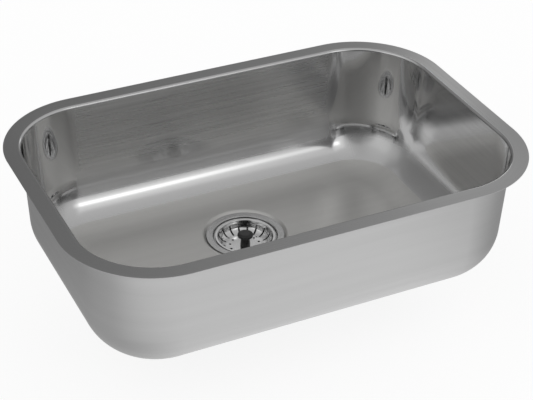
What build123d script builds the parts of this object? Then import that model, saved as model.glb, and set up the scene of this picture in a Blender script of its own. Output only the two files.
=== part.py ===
"""Kitchen sink: an undermount bowl pressed from steel sheet, with its basket strainer waste.

The origin is the centre of the rim's top face. X runs along the bowl, Y to the rear and Z up.
All sizes are in millimetres. Heights on the waste are measured from the bowl's floor.
"""

import os
from math import cos, radians, tan

from build123d import *

os.makedirs("parts", exist_ok=True)

# Bowl pressed from one sheet
rim_length = 600.0
rim_width = 412.0
rim_corner_radius = 115.0
sheet = 1.0
wall_inset = 21.8  # rim edge to the inner wall, in the rim's top plane
rim_bend_radius = 6.8
rim_edge_rounding = 0.3
bowl_depth = 167.0
wall_draft = 2.6  # degrees from upright
bottom_radius = 65.0

# Recess pressed in the floor for the waste
recess_radius = 55.5
recess_depth = 3.6
recess_flank = 45.0  # degrees from the floor
recess_rounding = 4.0
drain_hole_radius = 43.5
rear_floor_margin = 1.0  # flat floor left between the recess and the rear bottom bend

# Sound pads glued under the floor
pad_thickness = 2.5
pad_corner_radius = 10.0
pad_clearance = 9.0  # pad edges to the bottom bend and to the waste

# Waste flange and cup
flange_radius = 51.5
flange_sheet = 0.9
flange_edge_rounding = 0.4
cup_mouth_radius = 42.0
cup_mouth_rounding = 1.8
cup_ledge_depth = 3.5  # flange face to the ledge below the basket's rim
cup_ledge_radius = 38.4
cup_ledge_rounding = 1.0
cup_depth = 23.5  # flange face to the seat
cup_seat_radius = 34.6
cup_seat_rounding = 4.0
pocket_radius = 10.5
pocket_depth = 4.0
pocket_rounding = 1.0
outlet_hole_count = 8
outlet_hole_radius = 4.0
outlet_hole_circle = 15.7
flange_seal_thickness = 1.0
body_seal_thickness = 1.6
seal_inset = 1.0  # seal edges stand back from what they seal

# Clamp screw that pulls the cup and the waste body together
screw_socket_radius = 4.2
screw_socket_floor = 1.5
screw_tube_radius = 7.5
screw_tube_length = 12.6
screw_collar_radius = 9.3
screw_collar_height = 1.5
screw_slot_width = 2.2
screw_slot_depth = 0.9
screw_thread_radius = 4.0
screw_thread_length = 21.0
screw_rounding = 0.5
washer_thickness = 0.8

# Waste body, moulded
body_radius = 47.4
body_wall = 3.0
body_flange_radius = 52.5
body_flange_thickness = 3.6
body_straight = 25.0  # flange to the start of the funnel
body_funnel = 22.0
funnel_rounding = 6.0
outlet_radius = 23.9  # outside of a one and a half inch pipe thread
outlet_wall = 3.9
outlet_length = 28.0
outlet_rounding = 0.8
outlet_collar = 2.6
hub_radius = 12.0
hub_floor = 3.0
hub_rib_count = 3
hub_rib_thickness = 3.0
hub_rib_height = 16.8
insert_radius = 7.0
insert_length = 16.0

# Basket, turned from thin sheet, with a slotted wall
basket_sheet = 0.8
basket_rim_radius = 39.8
basket_edge_rounding = 0.3
basket_mouth_radius = 36.0
basket_mouth_rounding = 1.4
basket_rim_drop = 1.6  # flange face down to the basket's rim
basket_height = 15.7  # rim to the inside of the basket's floor
basket_bend_radius = 11.0
slot_count = 18
slot_width = 2.4
slot_length = 14.5
slot_slant = 45.0  # degrees, middle of the slot on the basket's bend
floor_hole_count = 12
floor_hole_radius = 1.6
floor_hole_circle = 20.0

# Knob
knob_radius = 10.3
knob_height = 19.0  # knob's foot to the top of its dome
knob_cap_height = 6.0
knob_cap_edge_low = 4.5  # cap's edge, from the top
knob_cap_edge_high = 1.7
knob_dome_margin = 2.9  # cap's edge to the dome's flat top
knob_dome_rounding = 6.0
knob_edge_rounding = 1.0
knob_neck_radius = 5.9
knob_neck_rounding = 2.6
knob_foot_radius = 6.6
knob_foot_rounding = 0.6

# Spindle with its rubber ring
spindle_radius = 3.0
spindle_length = 33.0
spindle_end_rounding = 1.8
spindle_groove_depth = 0.8
spindle_groove_width = 2.2
spindle_groove_from_end = 4.0
spindle_ring_thickness = 1.7

# Rubber plug below the basket
plug_radius = 24.5
plug_web = 1.5
plug_shoulder = 2.5
plug_rounding = 1.5
plug_lip_edge = 0.8
plug_lip_width = 4.0
plug_lip_slope = 1.0
plug_washer_radius = 7.0
plug_washer_thickness = 0.7
plug_nut_flats = 10.0
plug_nut_height = 3.2

# Clearances
turning_fit = 0.08  # basket on the spindle, each side
press_gap = 0.03  # pieces pushed on to the spindle
end_play = 0.3  # basket between the knob's foot and its spacer
seat_gap = 0.3  # rubber plug above its seat
screw_fit = 0.3  # screw tube and washer in the cup's hole, thread in the hub
thread_gap = 0.05  # screw thread in its brass insert
screw_end_gap = 1.0  # screw's shoulder to the hub, and its end to the hub's floor
bore_end_gap = 0.5  # spindle's head to the end of the knob's bore

# Bowl, worked out
inner_length = rim_length - 2 * wall_inset
inner_width = rim_width - 2 * wall_inset
inner_corner_radius = rim_corner_radius - wall_inset
wall_lean = bowl_depth * tan(radians(wall_draft))
bend_reach = bottom_radius * tan(radians(45 - wall_draft / 2))
floor_half_length = inner_length / 2 - wall_lean - bend_reach
floor_half_width = inner_width / 2 - wall_lean - bend_reach
flank_shift = sheet * tan(radians(recess_flank / 2))  # offset of a sloped flank across the sheet
rounding_run = recess_rounding * tan(radians(recess_flank / 2))  # length a rounding takes from each flat
recess_foot_radius = recess_radius - recess_depth / tan(radians(recess_flank))
recess_flat_radius = recess_foot_radius - rounding_run
recess_reach = recess_radius + rounding_run + sheet / 2
drain_y = floor_half_width - recess_reach - rear_floor_margin
floor_z = -bowl_depth

# Waste, worked out as heights from the floor
flange_face = flange_seal_thickness + flange_sheet - recess_depth
ledge = flange_face - cup_ledge_depth
seat = flange_face - cup_depth
pocket_floor = seat - pocket_depth
collar_seat = pocket_floor + washer_thickness
screw_top = collar_seat + screw_collar_height
screw_shoulder = pocket_floor - screw_tube_length
screw_end = screw_shoulder - screw_thread_length
socket_floor = screw_shoulder + screw_socket_floor
body_top = -recess_depth - sheet - body_seal_thickness
funnel_top = body_top - body_straight
funnel_end = funnel_top - body_funnel
outlet_end = funnel_end - outlet_length
hub_top = screw_shoulder - screw_end_gap
hub_hole_end = screw_end - screw_end_gap
hub_end = hub_hole_end - hub_floor

# Basket and plug, worked out as heights from the floor
basket_rim = flange_face - basket_rim_drop
basket_floor = basket_rim - basket_height
basket_underside = basket_floor - basket_sheet
knob_foot = basket_floor + end_play
knob_top = knob_foot + knob_height
knob_bore_end = knob_top - knob_cap_height
spindle_head = knob_bore_end - bore_end_gap
spindle_end = spindle_head - spindle_length
spacer_top = basket_underside - end_play
plug_top = spacer_top - plug_washer_thickness
plug_web_bottom = plug_top - plug_web
plug_bottom = seat + seat_gap
nut_top = plug_web_bottom - plug_washer_thickness

# Radii that pieces share
screw_hole_radius = screw_tube_radius + screw_fit
body_bore_radius = body_radius - body_wall
outlet_bore_radius = outlet_radius - outlet_wall
sleeve_radius = spindle_radius + press_gap
groove_radius = spindle_radius - spindle_groove_depth

drain_axis = Axis((0, drain_y, 0), (0, 0, 1))
drain_section = Plane(origin=(0, drain_y, floor_z), x_dir=(1, 0, 0), z_dir=(0, -1, 0))


def level(height):
    """Horizontal plane on the drain axis, at a height measured from the bowl's floor."""
    return Plane(origin=(0, drain_y, floor_z + height))


def section(*corners):
    """Closed outline on the drain axis, from (radius, height, rounding) corners."""
    with BuildSketch(drain_section) as outline:
        with BuildLine():
            points = [(radius, height) for radius, height, rounding in corners]
            roundings = [rounding for radius, height, rounding in corners]
            FilletPolyline(*points, radius=roundings, close=True)
        make_face()
    return outline.sketch


def ring(inside, outside, bottom, top):
    """Plain flat ring on the drain axis."""
    return section((inside, bottom, 0), (outside, bottom, 0), (outside, top, 0), (inside, top, 0))


def bowl_form(grow):
    """Drafted bowl shape with a round bottom: the inside, or the outside when grown by the sheet."""
    side = grow / cos(radians(wall_draft))
    with BuildPart() as form:
        with BuildSketch():
            RectangleRounded(inner_length + 2 * side, inner_width + 2 * side, inner_corner_radius + side)
        extrude(amount=-bowl_depth - grow, taper=wall_draft)
        fillet(form.faces().sort_by(Axis.Z)[0].edges(), bottom_radius + grow)
    return form.part


def finish(piece, name):
    """Labels a finished piece and writes it to its own file."""
    piece.label = name
    export_step(piece, f"parts/{name}.step")


# Bowl: flat rim, bend, drafted walls, round bottom and the drain's recess
with BuildPart() as sink_bowl:
    with BuildSketch():
        RectangleRounded(rim_length, rim_width, rim_corner_radius)
    extrude(amount=-sheet)
    add(bowl_form(sheet))
    add(bowl_form(0), mode=Mode.SUBTRACT)
    rim_top = sink_bowl.faces().filter_by(Plane.XY).sort_by(Axis.Z)[-1]
    fillet(rim_top.inner_wires()[0].edges(), rim_bend_radius)
    rim_underside = sink_bowl.faces().filter_by(Plane.XY).sort_by(Axis.Z)[-2]
    fillet(rim_underside.inner_wires()[0].edges(), rim_bend_radius - sheet)
    rim_top = sink_bowl.faces().filter_by(Plane.XY).sort_by(Axis.Z)[-1]
    fillet(rim_top.outer_wire().edges(), rim_edge_rounding)
    with BuildSketch(level(sheet)):
        Circle(recess_reach)
    extrude(amount=-3 * sheet, mode=Mode.SUBTRACT)
    revolve(
        section(
            (drain_hole_radius, -recess_depth, 0),
            (recess_foot_radius, -recess_depth, recess_rounding),
            (recess_radius, 0, recess_rounding),
            (recess_reach, 0, 0),
            (recess_reach, -sheet, 0),
            (recess_radius + flank_shift, -sheet, recess_rounding - sheet),
            (recess_foot_radius + flank_shift, -recess_depth - sheet, recess_rounding + sheet),
            (drain_hole_radius, -recess_depth - sheet, 0),
        ),
        axis=drain_axis,
    )
finish(sink_bowl.part, "sink_bowl")

# Sound pads: one at each end of the floor and one in front of the waste
pad_inner_edge = recess_reach + pad_clearance
pad_outer_edge = floor_half_length - pad_clearance
pad_depth = 2 * (floor_half_width - pad_clearance)
pad_under_floor = Plane.XY.offset(floor_z - sheet)
for side, name in ((-1, "sound_pad_left"), (1, "sound_pad_right")):
    with BuildPart() as sound_pad:
        with BuildSketch(pad_under_floor):
            with Locations((side * (pad_inner_edge + pad_outer_edge) / 2, 0)):
                RectangleRounded(pad_outer_edge - pad_inner_edge, pad_depth, pad_corner_radius)
        extrude(amount=-pad_thickness)
    finish(sound_pad.part, name)

front_pad_rear = drain_y - recess_reach - pad_clearance
front_pad_depth = front_pad_rear + pad_depth / 2
with BuildPart() as sound_pad_front:
    with BuildSketch(pad_under_floor):
        with Locations((0, front_pad_rear - front_pad_depth / 2)):
            RectangleRounded(2 * (pad_inner_edge - pad_clearance), front_pad_depth, pad_corner_radius)
    extrude(amount=-pad_thickness)
finish(sound_pad_front.part, "sound_pad_front")

# Waste flange: a pressed cup with a ledge for the basket, a flat seat and a pocket for the screw
with BuildPart() as waste_flange:
    revolve(
        section(
            (flange_radius, flange_face, flange_edge_rounding),
            (cup_mouth_radius, flange_face, cup_mouth_rounding),
            (cup_mouth_radius, ledge, cup_ledge_rounding),
            (cup_ledge_radius, ledge, cup_ledge_rounding),
            (cup_seat_radius, seat, cup_seat_rounding),
            (pocket_radius, seat, pocket_rounding),
            (pocket_radius, pocket_floor, 0),
            (screw_hole_radius, pocket_floor, 0),
            (screw_hole_radius, pocket_floor - flange_sheet, 0),
            (pocket_radius + flange_sheet, pocket_floor - flange_sheet, pocket_rounding),
            (pocket_radius + flange_sheet, seat - flange_sheet, 0),
            (cup_seat_radius + flange_sheet, seat - flange_sheet, cup_seat_rounding + flange_sheet),
            (cup_ledge_radius + flange_sheet, ledge - flange_sheet, 0),
            (cup_mouth_radius + flange_sheet, ledge - flange_sheet, cup_ledge_rounding + flange_sheet),
            (cup_mouth_radius + flange_sheet, flange_face - flange_sheet, cup_mouth_rounding - flange_sheet),
            (flange_radius, flange_face - flange_sheet, 0),
        ),
        axis=drain_axis,
    )
    with BuildSketch(level(seat + flange_sheet)):
        with PolarLocations(outlet_hole_circle, outlet_hole_count):
            Circle(outlet_hole_radius)
    extrude(amount=-3 * flange_sheet, mode=Mode.SUBTRACT)
finish(waste_flange.part, "waste_flange")

# Rubber rings above and below the bowl's recess
seal_inner_radius = drain_hole_radius + seal_inset
seal_outer_radius = recess_flat_radius - seal_inset
with BuildPart() as flange_seal:
    revolve(
        ring(seal_inner_radius, seal_outer_radius, -recess_depth, flange_face - flange_sheet),
        axis=drain_axis,
    )
finish(flange_seal.part, "flange_seal")

body_seal_inner_radius = body_bore_radius + seal_inset / 2
body_seal_outer_radius = body_flange_radius - 2 * seal_inset
with BuildPart() as body_seal:
    revolve(
        ring(body_seal_inner_radius, body_seal_outer_radius, body_top, -recess_depth - sheet),
        axis=drain_axis,
    )
finish(body_seal.part, "body_seal")

# Waste body: flange, straight wall, funnel and outlet, with a closed hub on ribs for the screw
rib_reach = outlet_bore_radius + outlet_wall / 2
with BuildPart() as waste_body:
    revolve(
        section(
            (body_bore_radius, body_top, 0),
            (body_bore_radius, funnel_top, funnel_rounding),
            (outlet_bore_radius, funnel_end + body_wall, funnel_rounding),
            (outlet_bore_radius, outlet_end, 0),
            (outlet_radius, outlet_end, outlet_rounding),
            (outlet_radius, funnel_end, 0),
            (outlet_radius + outlet_collar, funnel_end, 0),
            (outlet_radius + outlet_collar, funnel_end + body_wall, 0),
            (body_radius, funnel_top - body_wall, funnel_rounding + body_wall),
            (body_radius, body_top - body_flange_thickness, 0),
            (body_flange_radius, body_top - body_flange_thickness, 0),
            (body_flange_radius, body_top, 0),
        ),
        axis=drain_axis,
    )
    with BuildSketch(level(hub_end)):
        with PolarLocations(rib_reach / 2, hub_rib_count):
            Rectangle(rib_reach, hub_rib_thickness)
    extrude(amount=hub_rib_height)
    with BuildSketch(level(hub_end)):
        Circle(hub_radius)
    extrude(amount=hub_top - hub_end)
    with BuildSketch(level(hub_top)):
        Circle(insert_radius)
    extrude(amount=-insert_length, mode=Mode.SUBTRACT)
    with BuildSketch(level(hub_top)):
        Circle(screw_thread_radius + screw_fit)
    extrude(amount=hub_hole_end - hub_top, mode=Mode.SUBTRACT)
finish(waste_body.part, "waste_body")

# Brass insert moulded in the hub
with BuildPart() as clamp_insert:
    revolve(
        ring(screw_thread_radius + thread_gap, insert_radius, hub_top - insert_length, hub_top),
        axis=drain_axis,
    )
finish(clamp_insert.part, "clamp_insert")

# Hollow-headed clamp screw and its washer
with BuildPart() as clamp_screw:
    revolve(
        section(
            (screw_socket_radius, screw_top, 0),
            (screw_collar_radius, screw_top, screw_rounding),
            (screw_collar_radius, collar_seat, 0),
            (screw_tube_radius, collar_seat, 0),
            (screw_tube_radius, screw_shoulder, screw_rounding),
            (screw_thread_radius, screw_shoulder, 0),
            (screw_thread_radius, screw_end, screw_rounding),
            (0, screw_end, 0),
            (0, socket_floor, 0),
            (screw_socket_radius, socket_floor, 0),
        ),
        axis=drain_axis,
    )
    with BuildSketch(level(screw_top)):
        Rectangle(3 * screw_collar_radius, screw_slot_width)
    extrude(amount=-screw_slot_depth, mode=Mode.SUBTRACT)
finish(clamp_screw.part, "clamp_screw")

with BuildPart() as clamp_washer:
    revolve(
        ring(screw_hole_radius, screw_collar_radius, pocket_floor, collar_seat),
        axis=drain_axis,
    )
finish(clamp_washer.part, "clamp_washer")

# Strainer basket: flat rim, slotted round wall and pierced floor
bend_centre_radius = basket_mouth_radius - basket_bend_radius
bend_centre = Vector(0, drain_y, floor_z + basket_floor + basket_bend_radius)
basket_outer_radius = basket_mouth_radius + basket_sheet
spindle_hole_radius = spindle_radius + turning_fit
slot_out = cos(radians(slot_slant))
slot_up = cos(radians(90 - slot_slant))
with BuildPart() as strainer_basket:
    revolve(
        section(
            (basket_rim_radius, basket_rim, basket_edge_rounding),
            (basket_mouth_radius, basket_rim, basket_mouth_rounding),
            (basket_mouth_radius, basket_floor, basket_bend_radius),
            (spindle_hole_radius, basket_floor, 0),
            (spindle_hole_radius, basket_underside, 0),
            (basket_outer_radius, basket_underside, basket_bend_radius + basket_sheet),
            (basket_outer_radius, basket_rim - basket_sheet, basket_mouth_rounding - basket_sheet),
            (basket_rim_radius, basket_rim - basket_sheet, 0),
        ),
        axis=drain_axis,
    )
    with BuildSketch(level(basket_floor + basket_sheet)):
        with PolarLocations(floor_hole_circle, floor_hole_count):
            Circle(floor_hole_radius)
    extrude(amount=-3 * basket_sheet, mode=Mode.SUBTRACT)
    for turn in range(slot_count):
        spoke = Plane.XY.rotated((0, 0, 360 * turn / slot_count)).x_dir
        slot_plane = Plane(
            origin=bend_centre + spoke * bend_centre_radius,
            x_dir=spoke * slot_up + Vector(0, 0, slot_out),
            z_dir=spoke * slot_out - Vector(0, 0, slot_up),
        )
        with BuildSketch(slot_plane.offset(basket_bend_radius / 2)):
            SlotOverall(slot_length, slot_width)
        extrude(amount=basket_bend_radius, mode=Mode.SUBTRACT)
finish(strainer_basket.part, "strainer_basket")

# Moulded knob, pushed on to the spindle
with BuildPart() as basket_knob:
    revolve(
        section(
            (0, knob_bore_end, 0),
            (sleeve_radius, knob_bore_end, 0),
            (sleeve_radius, knob_foot, 0),
            (knob_foot_radius, knob_foot, knob_foot_rounding),
            (knob_neck_radius, knob_top - knob_cap_height, knob_neck_rounding),
            (knob_radius, knob_top - knob_cap_edge_low, knob_edge_rounding),
            (knob_radius, knob_top - knob_cap_edge_high, knob_edge_rounding),
            (knob_radius - knob_dome_margin, knob_top, knob_dome_rounding),
            (0, knob_top, 0),
        ),
        axis=drain_axis,
    )
finish(basket_knob.part, "basket_knob")

# Spindle with a round end and a groove for its rubber ring
groove_centre = spindle_end + spindle_groove_from_end
groove_top = groove_centre + spindle_groove_width / 2
groove_bottom = groove_centre - spindle_groove_width / 2
with BuildPart() as basket_spindle:
    revolve(
        section(
            (0, spindle_head, 0),
            (spindle_radius, spindle_head, 0),
            (spindle_radius, groove_top, 0),
            (groove_radius, groove_top, 0),
            (groove_radius, groove_bottom, 0),
            (spindle_radius, groove_bottom, 0),
            (spindle_radius, spindle_end, spindle_end_rounding),
            (0, spindle_end, 0),
        ),
        axis=drain_axis,
    )
finish(basket_spindle.part, "basket_spindle")

with BuildPart() as spindle_ring:
    with BuildSketch(drain_section):
        with Locations((groove_radius + spindle_ring_thickness / 2, groove_centre)):
            Circle(spindle_ring_thickness / 2)
    revolve(axis=drain_axis)
finish(spindle_ring.part, "spindle_ring")

# Flat rings on the spindle: spacer above the rubber plug, washer below it
for name, top in (("basket_spacer", spacer_top), ("plug_washer", plug_web_bottom)):
    with BuildPart() as flat_ring:
        revolve(ring(sleeve_radius, plug_washer_radius, top - plug_washer_thickness, top), axis=drain_axis)
    finish(flat_ring.part, name)

# Rubber plug: a web with a lip that closes on the cup's seat
lip_inner_radius = plug_radius - plug_lip_width
with BuildPart() as plug_seal:
    revolve(
        section(
            (sleeve_radius, plug_top, 0),
            (plug_radius - plug_shoulder, plug_top, plug_rounding),
            (plug_radius, plug_bottom + plug_lip_edge, 0),
            (plug_radius - plug_lip_edge, plug_bottom, 0),
            (lip_inner_radius, plug_bottom, 0),
            (lip_inner_radius - plug_lip_slope, plug_web_bottom, 0),
            (sleeve_radius, plug_web_bottom, 0),
        ),
        axis=drain_axis,
    )
finish(plug_seal.part, "plug_seal")

# Hexagon nut that holds the plug on the spindle
with BuildPart() as plug_nut:
    with BuildSketch(level(nut_top)):
        RegularPolygon(plug_nut_flats / 2, 6, major_radius=False)
        Circle(sleeve_radius, mode=Mode.SUBTRACT)
    extrude(amount=-plug_nut_height)
finish(plug_nut.part, "plug_nut")
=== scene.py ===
"""Looks of the kitchen sink: a pressed steel bowl with a basket strainer waste.

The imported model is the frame. The bowl and the waste body are modelled again here with finer
edges. Every other piece keeps its CAD shape, and all but the strainer basket get a finish made
here. Sizes are in metres. X runs to the right, Y to the rear and Z up.
"""

import logging
import math
from dataclasses import dataclass
from enum import Enum
from typing import Callable, Optional, Union

import bmesh
import bpy
from mathutils import Matrix, Vector


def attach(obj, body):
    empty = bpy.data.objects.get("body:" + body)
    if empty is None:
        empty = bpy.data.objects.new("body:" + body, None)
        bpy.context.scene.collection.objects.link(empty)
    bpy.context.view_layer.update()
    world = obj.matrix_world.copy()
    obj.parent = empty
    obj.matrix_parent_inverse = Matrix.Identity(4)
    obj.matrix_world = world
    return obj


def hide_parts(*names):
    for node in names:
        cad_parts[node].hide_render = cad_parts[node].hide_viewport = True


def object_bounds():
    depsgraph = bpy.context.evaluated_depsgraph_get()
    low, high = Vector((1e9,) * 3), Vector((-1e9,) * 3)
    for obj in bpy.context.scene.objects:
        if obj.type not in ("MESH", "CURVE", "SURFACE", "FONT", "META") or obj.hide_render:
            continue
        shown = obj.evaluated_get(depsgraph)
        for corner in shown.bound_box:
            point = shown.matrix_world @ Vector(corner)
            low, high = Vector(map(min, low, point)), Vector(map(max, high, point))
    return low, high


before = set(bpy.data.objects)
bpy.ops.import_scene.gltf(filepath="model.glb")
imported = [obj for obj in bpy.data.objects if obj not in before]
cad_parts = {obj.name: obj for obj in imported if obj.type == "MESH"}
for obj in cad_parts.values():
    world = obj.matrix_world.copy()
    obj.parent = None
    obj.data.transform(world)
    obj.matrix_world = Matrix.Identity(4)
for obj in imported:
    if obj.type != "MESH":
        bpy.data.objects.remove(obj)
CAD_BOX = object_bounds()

log = logging.getLogger("sink")
Colour = tuple[float, float, float]
Place = tuple[float, float, float]
Rings = list[tuple[float, float]]
Stops = tuple[tuple[float, float], ...]
Edge = bmesh.types.BMEdge
Node = bpy.types.Node
Socket = bpy.types.NodeSocket
Value = Union[Socket, float]

# How near two points have to lie to count as one point, one level or one outline.
SAME_POINT = 1e-6
SAME_LEVEL = 1e-5
SAME_OUTLINE = 1e-4


class Body(Enum):
    """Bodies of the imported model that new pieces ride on."""

    SINK = "sink"


class Pick(Enum):
    """Kinds of mesh element that can be selected."""

    VERT = "VERT"
    EDGE = "EDGE"
    FACE = "FACE"


class Coords(Enum):
    """Where a finish reads its pattern from: the piece's own frame, or the bowl's UV map."""

    OBJECT = "Object"
    OUTLINE = "outline"


class Grain(Enum):
    """Node groups of noise that the finishes share."""

    BRUSHED = "brushed_grain"
    SPECKLE = "speckle"


class BowlFace(Enum):
    """Material slots of the bowl's inner side. The outer side's slots follow in the same order."""

    RIM = 0
    WALL = 1
    FLOOR = 2


def grey(level: float) -> Colour:
    """Neutral colour of one linear level."""
    return (level, level, level)


def direction(azimuth: float, elevation: float) -> Vector:
    """Works out the unit vector that points at a place in the studio.

    Args:
        azimuth: degrees from the rear, clockwise seen from above.
        elevation: degrees above the horizon.

    Returns:
        The vector from the origin.
    """
    turn, rise = math.radians(azimuth), math.radians(elevation)
    flat = math.cos(rise)
    return Vector((math.sin(turn) * flat, math.cos(turn) * flat, math.sin(rise)))


class Workpiece:
    """A mesh object that is shaped in edit mode with operators, as by hand."""

    def __init__(self, name: str, add: Callable[..., set], **sizes: object) -> None:
        """Adds a primitive at the origin and opens it in edit mode.

        Args:
            name: name of the finished piece.
            add: operator that adds the primitive.
            **sizes: the operator's own sizes.
        """
        bpy.ops.object.select_all(action="DESELECT")
        add(**sizes)
        self.obj = bpy.context.active_object
        self.obj.name = name
        self.obj.data.name = name
        bpy.ops.object.transform_apply(location=True, rotation=True, scale=True)
        bpy.ops.object.mode_set(mode="EDIT")

    def leave_edit_mode(self) -> None:
        """Goes back to object mode."""
        bpy.ops.object.mode_set(mode="OBJECT")

    def pick(self, kind: Pick, test: Callable[[object], bool]) -> None:
        """Selects the elements that pass a test, and nothing else.

        Args:
            kind: vertices, edges or faces.
            test: takes a bmesh element and says whether it is wanted.
        """
        bpy.ops.mesh.select_mode(type=kind.value)
        bpy.ops.mesh.select_all(action="DESELECT")
        mesh = bmesh.from_edit_mesh(self.obj.data)
        parts = {Pick.VERT: mesh.verts, Pick.EDGE: mesh.edges, Pick.FACE: mesh.faces}[kind]
        for part in [part for part in parts if test(part)]:
            part.select_set(True)
        bmesh.update_edit_mesh(self.obj.data)

    def bevel(self, width: float, segments: int, affect: str = "EDGES") -> None:
        """Rounds the selected edges or corners with an arc that takes width from each side.

        Args:
            width: length that the arc takes.
            segments: number of faces along the arc.
            affect: EDGES or VERTICES.
        """
        arc = {"offset_type": "OFFSET", "profile": 0.5, "clamp_overlap": False}
        bpy.ops.mesh.bevel(affect=affect, offset=width, segments=segments, **arc)

    def lathe(self, rings: Rings, centre: Place) -> None:
        """Draws the selected ring out through more rings round an upright axis.

        Args:
            rings: radius and height of each ring, the selected one first.
            centre: any point of the axis.
        """
        for before, after in zip(rings, rings[1:]):
            rise = (0, 0, after[1] - before[1])
            bpy.ops.mesh.extrude_edges_move(TRANSFORM_OT_translate={"value": rise})
            share = after[0] / before[0]
            bpy.ops.transform.resize(value=(share, share, 1.0), center_override=centre)

    def face_outwards(self) -> None:
        """Turns all faces outwards and leaves them selected."""
        bpy.ops.mesh.select_all(action="SELECT")
        bpy.ops.mesh.normals_make_consistent(inside=False)

    def modify(self, kind: str, **settings: object) -> None:
        """Adds a modifier in object mode and applies it.

        Args:
            kind: type of the modifier.
            **settings: its properties.
        """
        self.leave_edit_mode()
        modifier = self.obj.modifiers.new(kind.lower(), kind)
        for key, value in settings.items():
            setattr(modifier, key, value)
        bpy.ops.object.modifier_apply(modifier=modifier.name)

    def round_edges(self, width: float, segments: int, angle: float) -> None:
        """Rounds all sharp edges.

        Args:
            width: length that the rounding takes from each side.
            segments: number of faces along the rounding.
            angle: degrees from which an edge counts as sharp.
        """
        limit = {"limit_method": "ANGLE", "angle_limit": math.radians(angle)}
        self.modify("BEVEL", width=width, segments=segments, **limit)

    def smooth(self, angle: float) -> None:
        """Shades the piece smooth, apart from edges sharper than an angle in degrees."""
        bpy.ops.object.shade_smooth_by_angle(angle=math.radians(angle))

    def done(self, body: Body, slot: str, *nodes: str) -> None:
        """Hands the piece to the frame.

        Args:
            body: the body that it moves with.
            slot: not used.
            *nodes: CAD nodes that it stands for.
        """
        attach(self.obj, body.value)
        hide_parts(*nodes)
        log.info("%s: %d faces", self.obj.name, len(self.obj.data.polygons))


class Shader:
    """Short way to place and join nodes in a tree."""

    def __init__(self, tree: bpy.types.NodeTree) -> None:
        """Starts from an empty tree."""
        self.tree = tree
        tree.nodes.clear()

    def node(self, kind: str, inputs: Optional[dict] = None, **settings: object) -> Node:
        """Adds a node.

        Args:
            kind: type of the node.
            inputs: socket name or number to a value, or to the output socket that feeds it.
            **settings: the node's own properties.

        Returns:
            The node.
        """
        made = self.tree.nodes.new(kind)
        for key, value in settings.items():
            setattr(made, key, value)
        for key, value in (inputs or {}).items():
            if isinstance(value, Socket):
                self.tree.links.new(value, made.inputs[key])
            else:
                made.inputs[key].default_value = value
        return made

    def math(self, operation: str, first: Value, second: Value) -> Socket:
        """Joins two values by an operation of the Math node."""
        return self.node("ShaderNodeMath", {0: first, 1: second}, operation=operation).outputs[0]

    def vector(self, operation: str, *values: object, output: str = "Vector") -> Socket:
        """Joins vectors by an operation of the Vector Math node."""
        inputs = dict(enumerate(values))
        return self.node("ShaderNodeVectorMath", inputs, operation=operation).outputs[output]

    def split(self, vector: Socket) -> Node:
        """Splits a vector into X, Y and Z."""
        return self.node("ShaderNodeSeparateXYZ", {"Vector": vector})

    def mix(self, share: Value, start: Value, end: Value) -> Socket:
        """Blends from one value to another by a share from 0 to 1."""
        return self.node("ShaderNodeMix", {"Factor": share, "A": start, "B": end}).outputs[0]

    def mix_shaders(self, share: Value, start: Socket, end: Socket) -> Socket:
        """Blends from one shader to another by a share from 0 to 1."""
        return self.node("ShaderNodeMixShader", {0: share, 1: start, 2: end}).outputs[0]

    def step(self, value: Socket, start: float, end: float) -> Socket:
        """Adds a smooth step from 0 at start to 1 at end."""
        ends = {"Value": value, "From Min": start, "From Max": end}
        return self.node("ShaderNodeMapRange", ends, interpolation_type="SMOOTHSTEP").outputs[0]

    def ramp(self, value: Socket, stops: Stops) -> Socket:
        """Turns a value from -1 to 1 into a level, eased between stops.

        Args:
            value: a place, or one part of a direction.
            stops: pairs of a value and its level, in rising order.

        Returns:
            The level's socket.
        """
        ends = {"Value": value, "From Min": -1.0, "From Max": 1.0}
        share = self.node("ShaderNodeMapRange", ends).outputs[0]
        made = self.node("ShaderNodeValToRGB", {"Fac": share})
        ramp = made.color_ramp
        ramp.interpolation = "EASE"
        while len(ramp.elements) < len(stops):
            ramp.elements.new(0.5)
        for element, (where, level) in zip(ramp.elements, stops):
            element.position = where / 2 + 0.5
            element.color = (*grey(level), 1.0)
        return made.outputs[0]

    def shape(self, level: Value, *ramps: tuple[Socket, Stops]) -> Socket:
        """Multiplies a level by ramps.

        Args:
            level: the level to start from.
            *ramps: the value and the stops of each ramp.

        Returns:
            The new level's socket.
        """
        for value, stops in ramps:
            level = self.math("MULTIPLY", level, self.ramp(value, stops))
        return level


def noise_group(grain: Grain, fine_share: float, detail: float, roughness: float) -> None:
    """Builds a node group of two noises, a fine one and a coarse one.

    Its inputs are Vector, Fine and Coarse, and its outputs are Tone and Height.

    Args:
        grain: which of the shared groups it is.
        fine_share: how much of the height comes from the fine noise.
        detail: octaves of both noises.
        roughness: how strong the small octaves are.
    """
    group = bpy.data.node_groups.new(grain.value, "ShaderNodeTree")
    group.interface.new_socket("Vector", in_out="INPUT", socket_type="NodeSocketVector")
    for label in ("Fine", "Coarse"):
        group.interface.new_socket(label, in_out="INPUT", socket_type="NodeSocketFloat")
    for label in ("Tone", "Height"):
        group.interface.new_socket(label, in_out="OUTPUT", socket_type="NodeSocketFloat")
    shader = Shader(group)
    given = shader.node("NodeGroupInput").outputs
    shared = {"Vector": given["Vector"], "Detail": detail, "Roughness": roughness}
    fine, coarse = (
        shader.node("ShaderNodeTexNoise", {**shared, "Scale": given[label]}).outputs[0]
        for label in ("Fine", "Coarse")
    )
    height = shader.mix(fine_share, coarse, fine)
    shader.node("NodeGroupOutput", {"Tone": coarse, "Height": height})


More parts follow.
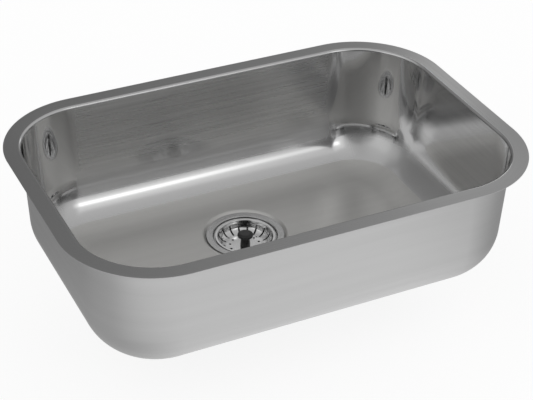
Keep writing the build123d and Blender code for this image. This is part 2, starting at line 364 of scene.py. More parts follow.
@dataclass(frozen=True)
class Finish:
    """A surface with a tone, a roughness and a fine relief that all vary with one noise."""

    name: str
    colour: Colour
    roughness: float
    metallic: float = 1.0
    tone_spread: float = 0.05
    roughness_spread: float = 0.05
    noise_width: float = 0.3
    relief: float = 1e-5
    stretch: Place = (1.0, 1.0, 1.0)
    fine: float = 1.0
    coarse: float = 0.2
    coords: Coords = Coords.OBJECT
    grain: Grain = Grain.BRUSHED
    anisotropy: float = 0.0
    anisotropy_turn: float = 0.0
    coat: float = 0.0
    coat_roughness: float = 0.1
    coat_ior: float = 1.5

    def material(self) -> bpy.types.Material:
        """Builds the material.

        Returns:
            A material with one Principled shader fed by the finish's noise group.
        """
        made = bpy.data.materials.new(self.name)
        made.use_nodes = True
        shader = Shader(made.node_tree)
        place = self._place(shader)
        mapped = shader.node("ShaderNodeMapping", {"Vector": place, "Scale": self.stretch})
        noise = shader.node(
            "ShaderNodeGroup",
            {"Vector": mapped.outputs[0], "Fine": self.fine, "Coarse": self.coarse},
            node_tree=bpy.data.node_groups[self.grain.value],
        )
        tone = shader.node(
            "ShaderNodeMix",
            {
                "Factor": self._tone(shader, noise),
                "A": (*(part * (1 - self.tone_spread) for part in self.colour), 1.0),
                "B": (*(part * (1 + self.tone_spread) for part in self.colour), 1.0),
            },
            data_type="RGBA",
        )
        relief = {"Height": noise.outputs["Height"], "Distance": self.relief}
        surface = shader.node(
            "ShaderNodeBsdfPrincipled",
            {
                "Base Color": tone.outputs[2],
                "Roughness": self._roughness(shader, noise),
                "Normal": shader.node("ShaderNodeBump", relief).outputs[0],
                "Metallic": self.metallic,
                "Anisotropic": self.anisotropy,
                "Anisotropic Rotation": self.anisotropy_turn,
                "Coat Weight": self.coat,
                "Coat Roughness": self.coat_roughness,
                "Coat IOR": self.coat_ior,
            },
        )
        if self.anisotropy:
            tangent = shader.node(
                "ShaderNodeTangent", direction_type="UV_MAP", uv_map=Coords.OUTLINE.value
            )
            made.node_tree.links.new(tangent.outputs[0], surface.inputs["Tangent"])
        shader.node("ShaderNodeOutputMaterial", {"Surface": surface.outputs[0]})
        return made

    def _place(self, shader: Shader) -> Socket:
        """Gives the coordinates that the noise is read at.

        Args:
            shader: the material's tree.

        Returns:
            The coordinates' socket.
        """
        if self.coords is Coords.OUTLINE:
            return shader.node("ShaderNodeUVMap", uv_map=self.coords.value).outputs[0]
        return shader.node("ShaderNodeTexCoord").outputs[self.coords.value]

    def _tone(self, shader: Shader, noise: Node) -> Socket:
        """Lets the tone follow the noise."""
        return noise.outputs["Tone"]

    def _roughness(self, shader: Shader, noise: Node) -> Socket:
        """Lets the roughness follow the noise.

        Args:
            shader: the material's tree.
            noise: the finish's noise group.

        Returns:
            The socket that feeds the roughness.
        """
        ends = {
            "Value": noise.outputs["Height"],
            "From Min": 0.5 - self.noise_width,
            "From Max": 0.5 + self.noise_width,
            "To Min": self.roughness - self.roughness_spread,
            "To Max": self.roughness + self.roughness_spread,
        }
        return shader.node("ShaderNodeMapRange", ends).outputs[0]


@dataclass(frozen=True)
class TurnedFinish(Finish):
    """A finish from the lathe: its noise runs in rings round an upright axis."""

    tone_spread: float = 0.12
    relief: float = 1.5e-6
    stretch: Place = (1500.0, 1500.0, 12.0)
    coarse: float = 0.3
    axis_y: float = 0.0

    def _place(self, shader: Shader) -> Socket:
        """Gives the distance from the axis, the height, and a little of X to break the rings.

        Args:
            shader: the material's tree.

        Returns:
            The coordinates that the noise is read at.
        """
        place = super()._place(shader)
        offset = shader.vector("SUBTRACT", place, (0.0, self.axis_y, 0.0))
        flat = shader.vector("MULTIPLY", offset, (1.0, 1.0, 0.0))
        radius = shader.vector("LENGTH", flat, output="Value")
        parts = shader.split(place).outputs
        joined = {0: radius, 1: parts["Z"], 2: parts["X"]}
        return shader.node("ShaderNodeCombineXYZ", joined).outputs[0]


@dataclass(frozen=True)
class MouldedFinish(Finish):
    """A finish from the mould, for rubber and plastic: no metal, and a fine speckle."""

    metallic: float = 0.0
    stretch: Place = (400.0, 400.0, 400.0)
    grain: Grain = Grain.SPECKLE


@dataclass(frozen=True)
class WallFinish(Finish):
    """The bowl's inner walls.

    They are brushed on the long sides and finer on the ends, bright in the corners and the bottom
    bend, and dull at the foot, where the floor starts.
    """

    end_from: float = 0.185
    end_roughness: float = 0.13
    corner_from: tuple[float, float] = (0.185, 0.091)
    corner_blend: float = 0.012
    corner_roughness: float = 0.04
    haze_from: float = -0.092
    haze_blend: float = 0.016
    haze_roughness: float = 0.45
    bend_from: float = -0.120
    bend_blend: float = 0.018
    bend_roughness: float = 0.13
    end_bend_from: float = 0.200
    end_bend_roughness: float = 0.38
    foot_from: float = -0.150
    foot_level: float = -0.158
    foot_roughness: float = 0.30
    calm_tone: float = 0.5

    def _zones(self, shader: Shader) -> tuple[Socket, Socket, Socket]:
        """Measures where a point lies on the bowl.

        Args:
            shader: the material's tree.

        Returns:
            Distance from the middle along X, distance into the nearest corner, and height.
        """
        place = shader.node("ShaderNodeTexCoord").outputs[Coords.OBJECT.value]
        size = shader.vector("ABSOLUTE", place)
        past = shader.split(shader.vector("SUBTRACT", size, (*self.corner_from, 0.0))).outputs
        corner = shader.math("MINIMUM", past["X"], past["Y"])
        return shader.split(size).outputs["X"], corner, shader.split(place).outputs["Z"]

    def _tone(self, shader: Shader, noise: Node) -> Socket:
        """Keeps the brush lines on the walls, and out of the corners and the bottom bend.

        Args:
            shader: the material's tree.
            noise: the finish's noise group.

        Returns:
            The socket that feeds the tone.
        """
        _, inward, height = self._zones(shader)
        corner = shader.step(inward, -2 * self.corner_blend, self.corner_blend)
        bend_start, bend_end = self.bend_from + self.bend_blend, self.bend_from - self.bend_blend
        bend = shader.step(height, bend_start, bend_end)
        calm = shader.math("MAXIMUM", corner, bend)
        return shader.mix(calm, noise.outputs["Tone"], self.calm_tone)

    def _roughness(self, shader: Shader, noise: Node) -> Socket:
        """Gives each zone of the walls its own roughness.

        Args:
            shader: the material's tree.
            noise: the finish's noise group.

        Returns:
            The socket that feeds the roughness.
        """
        across, inward, height = self._zones(shader)
        blend = self.corner_blend
        bend = shader.step(height, self.bend_from, self.bend_from - self.bend_blend)
        outer = shader.step(across, self.end_bend_from, self.end_bend_from + 2 * blend)
        haze = shader.step(height, self.haze_from, self.haze_from - self.haze_blend)
        end = shader.step(across, self.end_from, self.end_from + blend)
        corner = shader.step(inward, -blend / 2, blend)
        foot = shader.step(height, self.foot_from, self.foot_level)
        zones = (
            (haze, self.haze_roughness),
            (end, self.end_roughness),
            (corner, self.corner_roughness),
            (bend, self.bend_roughness),
            (shader.math("MULTIPLY", outer, bend), self.end_bend_roughness),
            (foot, self.foot_roughness),
        )
        level = super()._roughness(shader, noise)
        for zone, roughness in zones:
            level = shader.mix(zone, level, roughness)
        return level


@dataclass
class Bowl:
    """The bowl pressed from one sheet: rim, walls, round bottom and the drain's recess."""

    rim_length: float = 0.600
    rim_width: float = 0.412
    corner_radius: float = 0.115
    sheet: float = 0.001
    wall_inset: float = 0.0218
    rim_bend_radius: float = 0.0036
    edge_rounding: float = 0.0003
    edge_segments: int = 2
    edge_angle: float = 50.0
    smooth_angle: float = 180.0
    normal_weight: int = 100
    depth: float = 0.167
    draft: float = math.radians(2.6)
    bottom_radius: float = 0.065
    recess_radius: float = 0.0555
    recess_depth: float = 0.0036
    recess_slope: float = math.radians(45.0)
    recess_rounding: float = 0.004
    hole_radius: float = 0.0435
    rear_floor_margin: float = 0.001
    foot_level: float = -0.157
    corner_segments: int = 40
    bend_segments: int = 10
    bottom_segments: int = 32
    recess_segments: int = 6
    recess_around: int = 128

    rim_finish: Finish = Finish(
        "rim_steel", grey(0.50), roughness=0.30, stretch=(3.0, 500.0, 1.0),
        coords=Coords.OUTLINE, anisotropy=0.5, anisotropy_turn=0.25,
    )
    wall_finish: Finish = WallFinish(
        "wall_steel", grey(0.58), roughness=0.28, tone_spread=0.22, roughness_spread=0.04,
        relief=2e-6, stretch=(7.0, 330.0, 1.0), coarse=0.6, coords=Coords.OUTLINE,
        anisotropy=0.75, anisotropy_turn=0.25, coat=1.0, coat_roughness=0.06, coat_ior=2.4,
    )
    floor_finish: Finish = Finish(
        "floor_steel", (0.625, 0.62, 0.605), roughness=0.42, stretch=(4.0, 400.0, 400.0)
    )
    outside_finish: Finish = Finish(
        "outside_steel", grey(0.55), roughness=0.36, stretch=(6.0, 6.0, 300.0)
    )

    def __post_init__(self) -> None:
        """Works out the lengths that follow from the sizes."""
        half_length, half_width = self.rim_length / 2, self.rim_width / 2
        self.core = (half_length - self.corner_radius, half_width - self.corner_radius)
        self.wall_lean = self.depth * math.tan(self.draft)
        self.bevel_share = math.tan(math.pi / 4 - self.draft / 2)
        bend_reach = self.bottom_radius * self.bevel_share
        self.rounding_run = self.recess_rounding * math.tan(self.recess_slope / 2)
        floor_half_width = half_width - self.wall_inset - self.wall_lean - bend_reach
        recess_reach = self.recess_radius + self.rounding_run + self.sheet / 2
        self.drain_y = floor_half_width - recess_reach - self.rear_floor_margin

    def reach(self, point: Vector) -> float:
        """Distance of a point from the rectangle of the corner centres, seen from above."""
        past_x, past_y = abs(point.x) - self.core[0], abs(point.y) - self.core[1]
        return math.hypot(max(past_x, 0), max(past_y, 0))

    def along(self, point: Vector) -> float:
        """Measures along the rim's outline, anticlockwise from the right side's front end.

        Args:
            point: any point of the bowl.

        Returns:
            The length to the nearest place on the outline, or 0 inside the corner centres.
        """
        half_x, half_y = self.core
        sides = (
            (point.y, point.x, half_y, half_x),
            (-point.x, point.y, half_x, half_y),
            (-point.y, -point.x, half_y, half_x),
            (point.x, -point.y, half_x, half_y),
        )
        start = 0.0
        for step, away, limit, edge in sides:
            if away > edge and step > limit:
                turn = math.atan2(step - limit, away - edge)
                return start + 2 * limit + self.corner_radius * turn
            if away > edge and step >= -limit:
                return start + step + limit
            start += 2 * limit + self.corner_radius * math.pi / 2
        return 0.0

    def recess_rings(self) -> Rings:
        """Works out the drain's recess from the floor down to the hole.

        Returns:
            Radius and height of each ring, the first one where the rounding leaves the floor.
        """
        size, depth = self.recess_rounding, self.recess_depth
        top = self.recess_radius + self.rounding_run
        low = self.recess_radius - depth / math.tan(self.recess_slope) - self.rounding_run
        steps = range(self.recess_segments + 1)
        turns = [self.recess_slope * step / self.recess_segments for step in steps]
        rings = [(top - size * math.sin(turn), size * (math.cos(turn) - 1)) for turn in turns]
        rings += [
            (low + size * math.sin(turn), size * (1 - math.cos(turn)) - depth)
            for turn in reversed(turns)
        ]
        rings.append((self.hole_radius, -depth))
        return [(radius, height - self.depth) for radius, height in rings]

    def build(self) -> None:
        """Models the bowl and dresses it."""
        piece = Workpiece("bowl", bpy.ops.mesh.primitive_plane_add, size=1.0)
        self._press_walls(piece)
        self._sink_drain(piece)
        self._choose_finishes(piece)
        self._lay_outline_map(piece)
        outside = {"material_offset": len(BowlFace), "material_offset_rim": len(BowlFace)}
        piece.modify(
            "SOLIDIFY", thickness=self.sheet, offset=-1.0, use_even_offset=True, **outside
        )
        piece.round_edges(self.edge_rounding, self.edge_segments, self.edge_angle)
        piece.smooth(self.smooth_angle)
        piece.modify("WEIGHTED_NORMAL", mode="FACE_AREA", weight=self.normal_weight)
        piece.done(Body.SINK, "pressed_steel", "sink_bowl")

    def _press_walls(self, piece: Workpiece) -> None:
        """Shapes the rim, the walls and the two bends from a flat blank.

        Args:
            piece: the blank, one metre square.
        """
        blank = (self.rim_length, self.rim_width, 1.0)
        bpy.ops.transform.resize(value=blank, center_override=(0, 0, 0))
        piece.pick(Pick.VERT, lambda vert: True)
        piece.bevel(self.corner_radius, self.corner_segments, affect="VERTICES")
        piece.pick(Pick.FACE, lambda face: True)
        bpy.ops.mesh.inset(thickness=self.wall_inset, depth=0.0)
        bpy.ops.mesh.inset(thickness=self.wall_lean, depth=-self.depth)
        piece.pick(Pick.EDGE, self._on_floor)
        piece.bevel(self.bottom_radius * self.bevel_share, self.bottom_segments)
        piece.pick(Pick.EDGE, self._on_wall_top)
        piece.bevel(self.rim_bend_radius * self.bevel_share, self.bend_segments)

    def _sink_drain(self, piece: Workpiece) -> None:
        """Fills the floor round the recess, and draws the recess down ring by ring to the hole.

        Args:
            piece: the bowl with a plain floor.
        """
        piece.pick(Pick.FACE, self._on_floor)
        bpy.ops.mesh.delete(type="ONLY_FACE")
        rings = self.recess_rings()
        start = rings[0][0]
        bpy.ops.mesh.primitive_circle_add(
            vertices=self.recess_around, radius=start, location=(0, self.drain_y, -self.depth)
        )
        piece.pick(Pick.EDGE, lambda edge: len(edge.link_faces) < 2 and self._on_floor(edge))
        bpy.ops.mesh.fill(use_beauty=True)
        piece.pick(
            Pick.EDGE, lambda edge: len(edge.link_faces) == 1 and self._on_drain(edge, start)
        )
        piece.lathe(rings, (0, self.drain_y, 0))
        piece.face_outwards()
        faces = bmesh.from_edit_mesh(piece.obj.data).faces
        if max(faces, key=lambda face: face.calc_center_median().z).normal.z < 0:
            bpy.ops.mesh.flip_normals()

    def _on_floor(self, part: Union[Edge, bmesh.types.BMFace]) -> bool:
        """Says whether an edge or a face lies on the floor."""
        return all(vert.co.z < SAME_LEVEL - self.depth for vert in part.verts)

    def _on_wall_top(self, edge: Edge) -> bool:
        """Says whether an edge lies where the rim meets the walls."""
        inner = self.corner_radius - self.wall_inset
        return all(
            abs(vert.co.z) < SAME_POINT and abs(self.reach(vert.co) - inner) < SAME_OUTLINE
            for vert in edge.verts
        )

    def _on_drain(self, edge: Edge, radius: float) -> bool:
        """Says whether an edge lies on a circle round the drain's axis."""
        distances = [math.hypot(vert.co.x, vert.co.y - self.drain_y) for vert in edge.verts]
        return all(abs(distance - radius) < SAME_LEVEL for distance in distances)

    def _choose_finishes(self, piece: Workpiece) -> None:
        """Gives each face its slot by its height.

        Args:
            piece: the bowl's inner side.
        """
        piece.leave_edit_mode()
        mesh = piece.obj.data
        inside = (self.rim_finish, self.wall_finish, self.floor_finish)
        for finish in inside:
            mesh.materials.append(finish.material())
        outside = self.outside_finish.material()
        for _ in inside:
            mesh.materials.append(outside)
        for polygon in mesh.polygons:
            height = polygon.center.z
            if height > -SAME_LEVEL:
                face = BowlFace.RIM
            elif height > self.foot_level:
                face = BowlFace.WALL
            else:
                face = BowlFace.FLOOR
            polygon.material_index = face.value

    def _lay_outline_map(self, piece: Workpiece) -> None:
        """Lays the only UV map: U runs along the rim's outline, and V outwards and down.

        Args:
            piece: the bowl's inner side.
        """
        mesh = piece.obj.data
        while mesh.uv_layers:
            mesh.uv_layers.remove(mesh.uv_layers[0])
        layer = mesh.uv_layers.new(name=Coords.OUTLINE.value).data
        lap = 4 * sum(self.core) + 2 * math.pi * self.corner_radius
        for polygon in mesh.polygons:
            middle = self.along(polygon.center)
            for loop in polygon.loop_indices:
                point = mesh.vertices[mesh.loops[loop].vertex_index].co
                length = self.along(point)
                if length - middle > lap / 2:
                    length -= lap
                elif middle - length > lap / 2:
                    length += lap
                layer[loop].uv = (length, self.reach(point) - point.z)


@dataclass
class WasteBody:
    """The moulded body under the floor: flange, funnel, threaded outlet, and a hub on ribs."""

    axis_y: float
    top: float = -0.1732
    bore_radius: float = 0.0444
    radius: float = 0.0474
    wall: float = 0.003
    straight: float = 0.025
    funnel: float = 0.022
    funnel_rounding: float = 0.006
    funnel_segments: int = 6
    flange_radius: float = 0.0525
    flange_thickness: float = 0.0036
    collar_radius: float = 0.0265
    outlet_bore_radius: float = 0.020
    outlet_length: float = 0.028
    outlet_chamfer: float = 0.0006
    neck: float = 0.0034
    neck_slope: float = 0.001
    thread_radius: float = 0.0239
    thread_root: float = 0.0224
    thread_overlap: float = 0.0002
    thread_pitch: float = 0.002309
    thread_foot_share: float = 0.86
    thread_crest: float = 0.00045
    thread_turns: int = 9
    thread_steps: int = 72
    thread_start: float = 0.0018
    hub_radius: float = 0.012
    hub_top: float = -0.2098
    hub_end: float = -0.2338
    hub_floor: float = 0.003
    insert_radius: float = 0.007
    insert_depth: float = 0.016
    screw_radius: float = 0.0043
    rib_count: int = 3
    rib_thickness: float = 0.003
    rib_height: float = 0.0168
    rib_overlap: float = 0.001
    edge_rounding: float = 0.0003
    edge_segments: int = 2
    edge_angle: float = 40.0
    smooth_angle: float = 35.0
    around: int = 128
    hub_around: int = 64

    finish: Finish = MouldedFinish(
        "grey_moulding", (0.58, 0.59, 0.60), roughness=0.42, tone_spread=0.03, relief=2e-5,
        stretch=(600.0, 600.0, 600.0),
    )

    def __post_init__(self) -> None:
        """Works out the heights that follow from the sizes."""
        self.funnel_top = self.top - self.straight
        self.funnel_end = self.funnel_top - self.funnel
        self.outlet_end = self.funnel_end - self.outlet_length
        self.centre = (0.0, self.axis_y, 0.0)

    def build(self) -> None:
        """Models the body and dresses it."""
        thread = self._thread()
        start = {"radius": self.bore_radius, "location": (0, self.axis_y, self.top)}
        add = bpy.ops.mesh.primitive_circle_add
        piece = Workpiece("waste_body_moulded", add, vertices=self.around, **start)
        self._shell(piece)
        self._hub(piece)
        self._ribs()
        piece.face_outwards()
        piece.round_edges(self.edge_rounding, self.edge_segments, self.edge_angle)
        thread.select_set(True)
        bpy.ops.object.join()
        piece.smooth(self.smooth_angle)
        piece.obj.data.materials.clear()
        piece.obj.data.materials.append(self.finish.material())
        piece.done(Body.SINK, "moulding", "waste_body")

    def _shell(self, piece: Workpiece) -> None:
        """Turns the wall from its inner top edge down to the outlet and back up outside.

        Args:
            piece: the ring at the wall's inner top edge.
        """
        inner_slope_end = self.funnel_end + self.wall
        outer_slope = self.funnel_top - self.wall
        neck_end = self.funnel_end - self.neck
        flange_low = self.top - self.flange_thickness
        rings = [
            (self.bore_radius, self.top),
            (self.bore_radius, self.funnel_top),
            (self.outlet_bore_radius, inner_slope_end),
            (self.outlet_bore_radius, self.outlet_end),
            (self.thread_root - self.outlet_chamfer, self.outlet_end),
            (self.thread_root, self.outlet_end + self.outlet_chamfer),
            (self.thread_root, neck_end - self.neck_slope),
            (self.thread_radius, neck_end),
            (self.thread_radius, self.funnel_end),
            (self.collar_radius, self.funnel_end),
            (self.collar_radius, inner_slope_end),
            (self.radius, outer_slope),
            (self.radius, flange_low),
            (self.flange_radius, flange_low),
            (self.flange_radius, self.top),
            (self.bore_radius, self.top),
        ]
        piece.lathe(rings, self.centre)
        bpy.ops.mesh.select_all(action="SELECT")
        bpy.ops.mesh.remove_doubles(threshold=SAME_POINT)
        lean = math.atan2(self.bore_radius - self.outlet_bore_radius, self.funnel - self.wall)
        bends = (
            (self.bore_radius, self.funnel_top, self.funnel_rounding),
            (self.outlet_bore_radius, inner_slope_end, self.funnel_rounding),
            (self.radius, outer_slope, self.funnel_rounding + self.wall),
        )
        for radius, height, rounding in bends:
            piece.pick(Pick.EDGE, self._ring_test(radius, height))
            piece.bevel(rounding * math.tan(lean / 2), self.funnel_segments)

    def _ring_test(self, radius: float, height: float) -> Callable[[Edge], bool]:
        """Makes a test for the edges of one ring round the axis.

        Args:
            radius: the ring's radius.
            height: the ring's height.

        Returns:
            A function that takes an edge and says whether it lies on the ring.
        """
        return lambda edge: all(
            abs(vert.co.z - height) < SAME_POINT
            and abs(math.hypot(vert.co.x, vert.co.y - self.axis_y) - radius) < SAME_POINT
            for vert in edge.verts
        )

    def _hub(self, piece: Workpiece) -> None:
        """Adds the hub that holds the brass insert and ends in a closed floor.

        Args:
            piece: the body's shell.
        """
        insert_end = self.hub_top - self.insert_depth
        rings = [
            (self.hub_radius, self.hub_end),
            (self.hub_radius, self.hub_top),
            (self.insert_radius, self.hub_top),
            (self.insert_radius, insert_end),
            (self.screw_radius, insert_end),
            (self.screw_radius, self.hub_end + self.hub_floor),
        ]
        bpy.ops.mesh.select_all(action="DESELECT")
        start = {"radius": self.hub_radius, "location": (0, self.axis_y, self.hub_end)}
        bpy.ops.mesh.primitive_circle_add(vertices=self.hub_around, fill_type="NGON", **start)
        piece.pick(Pick.EDGE, self._ring_test(*rings[0]))
        piece.lathe(rings, self.centre)
        bpy.ops.mesh.edge_face_add()

    def _ribs(self) -> None:
        """Adds the ribs that carry the hub in the outlet's mouth."""
        reach = (self.outlet_bore_radius + self.thread_root) / 2
        start = self.hub_radius - self.rib_overlap
        size = (reach - start, self.rib_thickness, self.rib_height)
        middle = ((start + reach) / 2, self.axis_y, self.hub_end + self.rib_height / 2)
        for number in range(self.rib_count):
            bpy.ops.mesh.select_all(action="DESELECT")
            bpy.ops.mesh.primitive_cube_add(size=1.0, location=middle)
            bpy.ops.transform.resize(value=size, center_override=middle)
            turn = 2 * math.pi * number / self.rib_count
            bpy.ops.transform.rotate(value=turn, orient_axis="Z", center_override=self.centre)

    def _thread(self) -> bpy.types.Object:
        """Winds the outlet's pipe thread.

        Returns:
            The ridge of the thread, with closed ends.
        """
        foot = self.thread_root - self.thread_overlap
        height = self.thread_radius - foot
        width = self.thread_pitch * self.thread_foot_share
        piece = Workpiece("outlet_thread", bpy.ops.mesh.primitive_plane_add, size=1.0)
        bpy.ops.transform.rotate(value=math.pi / 2, orient_axis="X", center_override=(0, 0, 0))
        bpy.ops.transform.resize(value=(height, 1.0, width), center_override=(0, 0, 0))
        bpy.ops.transform.translate(value=((self.thread_radius + foot) / 2, 0, 0))
        piece.pick(Pick.VERT, lambda vert: vert.co.x > foot + height / 2)
        crest = (self.thread_radius, 0, 0)
        bpy.ops.transform.resize(
            value=(1.0, 1.0, self.thread_crest / width), center_override=crest
        )
        steps = {"steps": self.thread_steps, "render_steps": self.thread_steps}
        piece.modify(
            "SCREW", axis="Z", angle=2 * math.pi, screw_offset=self.thread_pitch,
            iterations=self.thread_turns, use_merge_vertices=False, **steps,
        )
        bpy.ops.object.mode_set(mode="EDIT")
        piece.pick(Pick.EDGE, lambda edge: len(edge.link_faces) == 1)
        bpy.ops.mesh.fill()
        piece.face_outwards()
        start = self.outlet_end + self.thread_start
        bpy.ops.transform.translate(value=(0, self.axis_y, start))
        piece.leave_edit_mode()
        return piece.obj


@dataclass
class Fittings:
    """The pieces that keep their CAD shape and only get finishes.

    The strainer basket isn't among them: it keeps the CAD's own bright steel as well.
    """

    axis_y: float
    rubber: Finish = MouldedFinish("black_rubber", grey(0.025), roughness=0.6)
    knob: Finish = MouldedFinish("knob_black", grey(0.012), roughness=0.22)
    pad: Finish = MouldedFinish(
        "pad_rubber", grey(0.09), roughness=0.75, tone_spread=0.5, relief=4e-4,
        stretch=(500.0, 500.0, 500.0),
    )

    def finishes(self) -> dict[Finish, tuple[str, ...]]:
        """Lists the finishes, the metal ones turned round the drain's axis.

        Returns:
            Names of the CAD nodes that each finish goes on.
        """
        axis_y, yellow = self.axis_y, (0.58, 0.40, 0.16)
        flange = TurnedFinish("flange_steel", grey(0.52), roughness=0.26, axis_y=axis_y)
        plain = TurnedFinish("plain_steel", grey(0.55), roughness=0.28, axis_y=axis_y)
        brass = TurnedFinish("turned_brass", yellow, roughness=0.25, axis_y=axis_y)
        fasteners = ("clamp_screw", "clamp_washer", "plug_washer", "plug_nut")
        return {
            flange: ("waste_flange",),
            plain: (*fasteners, "basket_spindle", "basket_spacer"),
            brass: ("clamp_insert",),
            self.rubber: ("flange_seal", "body_seal", "spindle_ring", "plug_seal"),
            self.pad: ("sound_pad_left", "sound_pad_right", "sound_pad_front"),
            self.knob: ("basket_knob",),
        }

    def dress(self) -> None:
        """Gives each node its finish in its own material slots."""
        for finish, nodes in self.finishes().items():
            made = finish.material()
            for node in nodes:
                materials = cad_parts[node].data.materials
                for place in range(len(materials)):
                    materials[place] = made
                log.info("%s: %s", node, finish.name)
        log.info("strainer_basket: the CAD's bright steel")


@dataclass(frozen=True)
class Softbox:
    """A soft lamp that shines at the sink."""

    name: str
    azimuth: float
    elevation: float
    distance: float
    width: float
    height: float
    power: float

    def build(self) -> None:
        """Adds the lamp, turned towards the bowl."""
        lamp = bpy.data.lights.new(self.name, "AREA")
        lamp.shape = "RECTANGLE"
        lamp.size, lamp.size_y, lamp.energy = self.width, self.height, self.power
        made = bpy.data.objects.new(self.name, lamp)
        bpy.context.scene.collection.objects.link(made)
        towards = direction(self.azimuth, self.elevation)
        made.location = towards * self.distance
        made.rotation_euler = towards.to_track_quat("Z", "Y").to_euler()


@dataclass(frozen=True)
class SoftPatch:
    """A broad soft patch of light in the surroundings, bounded along X, Y and Z."""

    peak: float
    across: Stops
    along: Stops
    upward: Stops

    def level(self, shader: Shader, way: Socket) -> Socket:
        """Works out the patch's light in a direction."""
        parts = shader.split(way).outputs
        return shader.shape(self.peak, *zip(parts, (self.across, self.along, self.upward)))


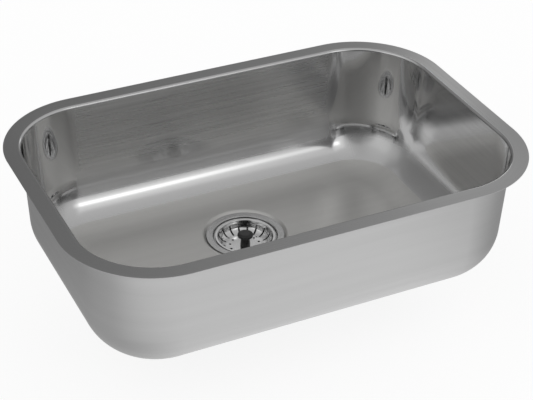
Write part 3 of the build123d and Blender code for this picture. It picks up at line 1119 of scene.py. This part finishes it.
@dataclass
class Studio:
    """Floor, surroundings, lamp and camera."""

    camera_place: Place = (-0.69862, -1.40391, 0.95822)
    camera_azimuth: float = math.radians(-26.5221)
    camera_elevation: float = math.radians(33.5290)
    camera_roll: float = math.radians(1.3145)
    lens: float = 101.28
    sensor: float = 36.0
    lamp: Softbox = Softbox(
        "right_softbox", azimuth=39.5, elevation=26.0, distance=2.4, width=0.25, height=0.25,
        power=0.24,
    )

    floor_size: float = 12.0
    floor_colour: Colour = grey(0.9)
    floor_white: float = 1.16
    shadow_share: float = 0.25
    # Painted shade seen in reflections: the floor's glow for glossy rays is darker to the rear on
    # both sides, and darker still on the right.
    floor_painted_shade_levels: Stops = ((-1.0, 1.0), (-0.45, 1.0), (-0.1, 0.55), (0.3, 0.35), (1.0, 0.3))
    floor_painted_shade_sides: Stops = ((-0.32, 1.0), (-0.10, 0.0), (0.15, 0.0), (0.42, 1.0))
    floor_painted_shade_right: Stops = ((0.22, 1.0), (0.45, 0.78))

    levels_left: Stops = (
        (-1.0, 0.68), (0.2, 0.6), (0.45, 0.5), (0.68, 0.28), (0.80, 0.22), (1.0, 0.2)
    )
    levels_right: Stops = (
        (-1.0, 0.68), (0.2, 0.6), (0.45, 0.56), (0.70, 0.48), (0.79, 0.25), (1.0, 0.18)
    )
    right_share: Stops = ((0.22, 0.0), (0.40, 1.0))
    levels_low: Stops = ((-1.0, 0.6), (0.0, 0.6), (0.5, 1.0), (0.75, 0.95), (1.0, 0.88))
    levels_side: Stops = ((-1.0, 1.08), (0.0, 1.0), (1.0, 0.9))
    dark_azimuth: float = -148.0
    dark_elevation: float = 16.0
    levels_dark_side: Stops = ((-1.0, 1.0), (0.84, 1.0), (0.95, 0.3), (1.0, 0.25))
    window_rise: float = math.radians(35.5)
    levels_window_height: Stops = ((-0.10, 0.0), (-0.035, 1.0), (0.035, 1.0), (0.10, 0.0))
    levels_window_width: Stops = (
        (0.10, 0.0), (0.24, 1.0), (0.31, 0.9), (0.40, 0.4), (0.55, 0.0)
    )
    levels_window_front: Stops = ((-0.3, 1.0), (-0.1, 0.0))
    front_patch: SoftPatch = SoftPatch(
        0.25,
        across=((-0.05, 0.0), (0.12, 1.0), (0.3, 1.0), (0.5, 0.0)),
        along=((-0.5, 1.0), (-0.3, 0.0)),
        upward=((0.15, 0.0), (0.35, 1.0), (0.7, 1.0), (0.8, 0.0)),
    )
    left_patch: SoftPatch = SoftPatch(
        0.25,
        across=((-0.55, 1.0), (-0.35, 0.0)),
        along=((-0.75, 0.0), (-0.55, 1.0), (0.0, 1.0), (0.25, 0.0)),
        upward=((0.25, 0.0), (0.4, 1.0), (0.6, 1.0), (0.75, 0.0)),
    )

    def build(self) -> None:
        """Builds the whole studio."""
        bpy.context.scene.view_settings.view_transform = "Standard"
        self._camera()
        self._floor()
        self._surroundings()
        self.lamp.build()

    def _camera(self) -> None:
        """Places the camera where the photograph was taken from."""
        turn, rise, roll = self.camera_azimuth, self.camera_elevation, self.camera_roll
        flat = math.cos(rise)
        back = Vector((math.sin(turn) * flat, -math.cos(turn) * flat, math.sin(rise)))
        right = Vector((math.cos(turn), math.sin(turn), 0.0))
        up = back.cross(right)
        across = math.cos(roll) * right + math.sin(roll) * up
        upright = -math.sin(roll) * right + math.cos(roll) * up
        data = bpy.data.cameras.new("camera")
        data.sensor_width, data.lens = self.sensor, self.lens
        camera = bpy.data.objects.new("camera", data)
        bpy.context.scene.collection.objects.link(camera)
        turned = Matrix((across, upright, back)).transposed().to_4x4()
        camera.matrix_world = Matrix.Translation(self.camera_place) @ turned
        bpy.context.scene.camera = camera

    def _floor(self) -> None:
        """Lays a plain pale floor under the waste."""
        floor = Workpiece("floor", bpy.ops.mesh.primitive_plane_add, size=self.floor_size)
        bpy.ops.transform.translate(value=(0, 0, CAD_BOX[0][2]))
        floor.leave_edit_mode()
        floor.obj.data.materials.append(self._floor_material())

    def _floor_material(self) -> bpy.types.Material:
        """Builds the floor's white.

        Returns:
            A material that is white with a faint shadow to the camera, shows painted shade in
            reflections, and is clear from below.
        """
        made = bpy.data.materials.new("floor_white")
        made.use_nodes = True
        shader = Shader(made.node_tree)
        ray = shader.node("ShaderNodeLightPath").outputs
        mirrored = shader.math("MAXIMUM", ray["Is Glossy Ray"], ray["Is Transmission Ray"])
        colour = {"Color": (*self.floor_colour, 1.0)}
        plain = shader.node("ShaderNodeBsdfDiffuse", colour).outputs[0]
        place = shader.split(shader.node("ShaderNodeTexCoord").outputs["Object"]).outputs
        # Painted shade for reflections: the floor glows darker towards the rear on both sides, and
        # darker still on the right.
        painted_shade = shader.ramp(place["Y"], self.floor_painted_shade_levels)
        level = shader.mix(shader.ramp(place["X"], self.floor_painted_shade_sides), 1.0, painted_shade)
        level = shader.shape(level, (place["X"], self.floor_painted_shade_right))
        painted_shade_in_reflections = shader.node("ShaderNodeEmission", {"Strength": level}).outputs[0]
        white = shader.node("ShaderNodeEmission", {"Strength": self.floor_white}).outputs[0]
        seen = shader.mix_shaders(self.shadow_share, white, plain)
        surface = shader.mix_shaders(ray["Is Camera Ray"], plain, seen)
        surface = shader.mix_shaders(mirrored, surface, painted_shade_in_reflections)
        below = shader.node("ShaderNodeNewGeometry").outputs["Backfacing"]
        clear = shader.node("ShaderNodeBsdfTransparent").outputs[0]
        surface = shader.mix_shaders(below, surface, clear)
        shader.node("ShaderNodeOutputMaterial", {"Surface": surface})
        return made

    def _surroundings(self) -> None:
        """Makes the studio's soft surroundings: a backdrop, a window and two soft patches."""
        world = bpy.data.worlds.new("studio")
        bpy.context.scene.world = world
        world.use_nodes = True
        shader = Shader(world.node_tree)
        way = shader.node("ShaderNodeTexCoord").outputs["Generated"]
        level = shader.math("ADD", self._backdrop(shader, way), self._window(shader, way))
        for patch in (self.front_patch, self.left_patch):
            level = shader.math("ADD", level, patch.level(shader, way))
        white = {"Color": (*grey(1.0), 1.0), "Strength": level}
        light = shader.node("ShaderNodeBackground", white).outputs[0]
        shader.node("ShaderNodeOutputWorld", {"Surface": light})

    def _backdrop(self, shader: Shader, way: Socket) -> Socket:
        """Works out the even light, which is darker behind the sink, low down and on one side.

        Args:
            shader: the world's tree.
            way: the direction.

        Returns:
            The level's socket.
        """
        parts = shader.split(way).outputs
        left = shader.ramp(parts["Y"], self.levels_left)
        right = shader.ramp(parts["Y"], self.levels_right)
        level = shader.mix(shader.ramp(parts["X"], self.right_share), left, right)
        towards = direction(self.dark_azimuth, self.dark_elevation)
        near = shader.vector("DOT_PRODUCT", way, towards, output="Value")
        return shader.shape(
            level,
            (parts["Z"], self.levels_low),
            (parts["X"], self.levels_side),
            (near, self.levels_dark_side),
        )

    def _window(self, shader: Shader, way: Socket) -> Socket:
        """Works out the light of a soft strip, in front and to the right, that leans back.

        Args:
            shader: the world's tree.
            way: the direction.

        Returns:
            The level's socket.
        """
        parts = shader.split(way).outputs
        lean = (0.0, math.sin(self.window_rise), math.cos(self.window_rise))
        height = shader.vector("DOT_PRODUCT", way, lean, output="Value")
        return shader.shape(
            shader.ramp(height, self.levels_window_height),
            (parts["X"], self.levels_window_width),
            (parts["Y"], self.levels_window_front),
        )


def main() -> None:
    """Builds the sink's looks and its studio."""
    logging.basicConfig(level=logging.INFO, format="%(name)s %(message)s")
    noise_group(Grain.BRUSHED, fine_share=0.9, detail=2.0, roughness=0.5)
    noise_group(Grain.SPECKLE, fine_share=0.7, detail=4.0, roughness=0.6)
    bowl = Bowl()
    bowl.build()
    WasteBody(bowl.drain_y).build()
    Fittings(bowl.drain_y).dress()
    Studio().build()


if __name__ == "__main__":
    main()
